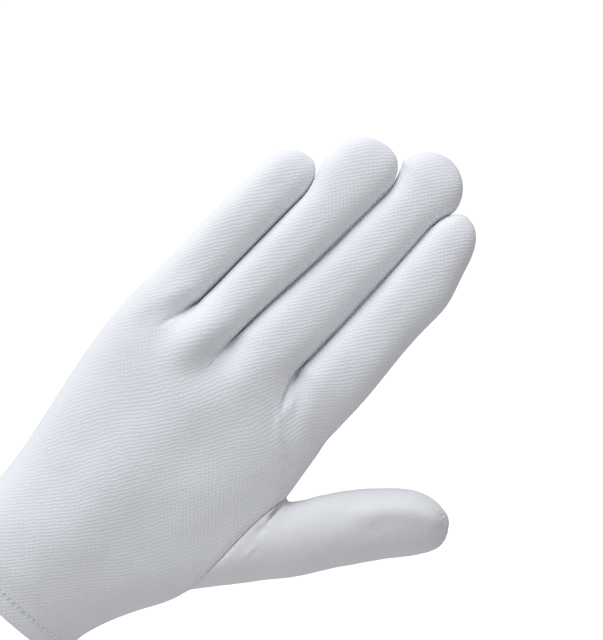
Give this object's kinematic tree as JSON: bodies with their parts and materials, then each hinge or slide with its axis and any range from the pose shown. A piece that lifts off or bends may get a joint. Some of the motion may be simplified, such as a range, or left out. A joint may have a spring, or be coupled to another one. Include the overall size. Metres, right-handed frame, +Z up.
{
  "type": "cotton glove",
  "caption": "Thin white knitted cotton dress glove for the left hand, hollow and filled out as if worn, with plain fingers, a set-in thumb and a stitched wrist hem.",
  "frame": {"origin": "middle of the wrist opening, in the plane of the hem's lower edge", "axes": "+Z up the fingers, +X to the thumb's side, -Y out of the back of the hand and +Y out of the palm"},
  "size_m": [0.1433, 0.0458, 0.2248],
  "materials": {
    "knit": "fine ribbed cotton knit, matt white",
    "thumb_knit": "fine smooth cotton knit, matt white",
    "hem_knit": "turned cotton knit with overlock stitches, matt white"
  },
  "bodies": {
    "root": {"back_panel": "knit", "palm_panel": "knit", "thumb": "thumb_knit", "wrist_hem": "hem_knit"}
  },
  "joints": []
}
